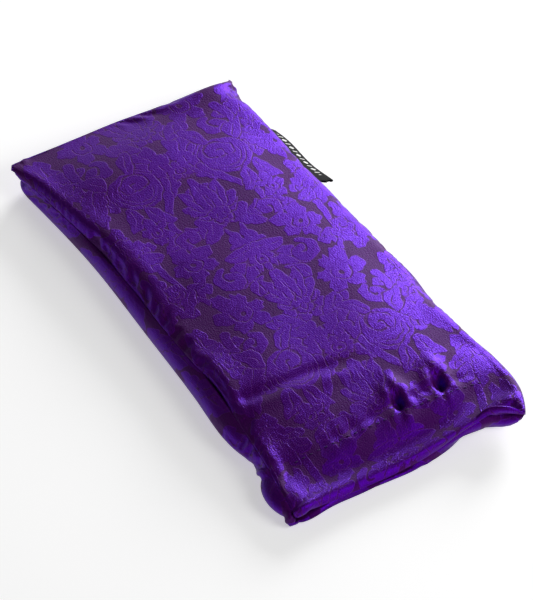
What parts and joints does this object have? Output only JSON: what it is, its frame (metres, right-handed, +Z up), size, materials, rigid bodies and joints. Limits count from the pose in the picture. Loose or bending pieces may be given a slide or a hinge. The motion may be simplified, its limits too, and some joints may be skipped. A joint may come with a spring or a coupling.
{
  "type": "eye pillow",
  "caption": "Seed-filled eye pillow: a damask satin slip cover open at one end, with a folded side label, round a sewn cotton pouch of flax and lavender.",
  "frame": {"origin": "middle of the flat underside, on the surface the pillow rests on", "axes": "+X along the pillow from the closed end to the open mouth, +Y across it towards the labelled side seam, +Z up from the underside to the crown"},
  "size_m": [0.23, 0.1157, 0.0204],
  "materials": {
    "satin": "satin",
    "satin_thread": "satin",
    "ribbon": "satin",
    "motif_thread": "matte",
    "cotton": "matte",
    "cotton_thread": "matte",
    "flax": "satin",
    "lavender": "matte"
  },
  "bodies": {
    "cover": {"cover_top_panel": "satin", "cover_bottom_panel": "satin", "label_side_seam": "satin_thread", "plain_side_seam": "satin_thread", "closed_end_seam": "satin_thread", "top_hem_stitching": "satin_thread", "bottom_hem_stitching": "satin_thread"},
    "label": {"side_label": "ribbon", "label_motif": "motif_thread"},
    "pouch": {"pouch_top_panel": "cotton", "pouch_bottom_panel": "cotton", "pouch_seam": "cotton_thread", "pouch_closing_seam": "cotton_thread", "flax_seed_fill": "flax", "loose_flax_seeds": "flax", "lavender_buds": "lavender"}
  },
  "joints": [
    {"name": "pouch_slide", "type": "slide", "parent": "cover", "child": "pouch", "axis": [1, 0, 0], "range_m": [0, 0.225]},
    {"name": "label_flex", "type": "hinge", "parent": "cover", "child": "label", "pos_m": [-0.064, 0.0547, 0.0095], "axis": [1, 0, 0], "range_deg": [-40, 75], "stiffness_Nm_per_rad": 0.0002}
  ]
}
